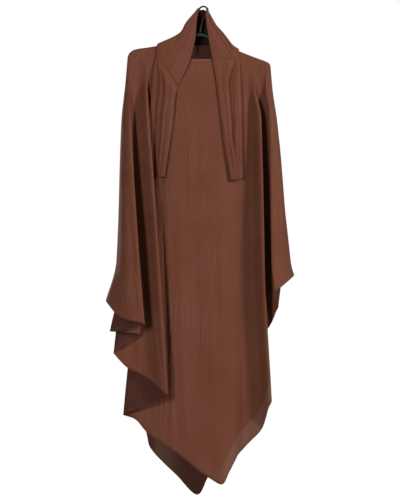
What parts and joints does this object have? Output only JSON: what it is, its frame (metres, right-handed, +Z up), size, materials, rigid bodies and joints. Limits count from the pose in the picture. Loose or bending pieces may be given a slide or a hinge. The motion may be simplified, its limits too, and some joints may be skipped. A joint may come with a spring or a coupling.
{
  "type": "long khimar with tie bands on a clothes hanger",
  "caption": "Long hooded khimar of soft crepe with wide tie bands at the face opening, draped in deep cascading folds from a plain clothes hanger.",
  "frame": {"origin": "the point under the top of the hanger's hook where a rail or peg bears", "axes": "+Z up along the hanging garment, +X to the viewer's right, the front faces -Y"},
  "size_m": [0.5654, 0.2036, 1.471],
  "materials": {
    "crepe": "soft matte crepe",
    "crepe_band": "soft matte crepe, pressed double",
    "hanger_plastic": "moulded black",
    "hook_steel": "black coated wire"
  },
  "bodies": {
    "root": {"front_panel": "crepe", "back_panel": "crepe", "hood_left": "crepe", "hood_right": "crepe", "neck_band": "crepe_band", "tie_left": "crepe_band", "tie_right": "crepe_band", "hanger_arms": "hanger_plastic", "hanger_hook": "hook_steel"}
  },
  "joints": []
}
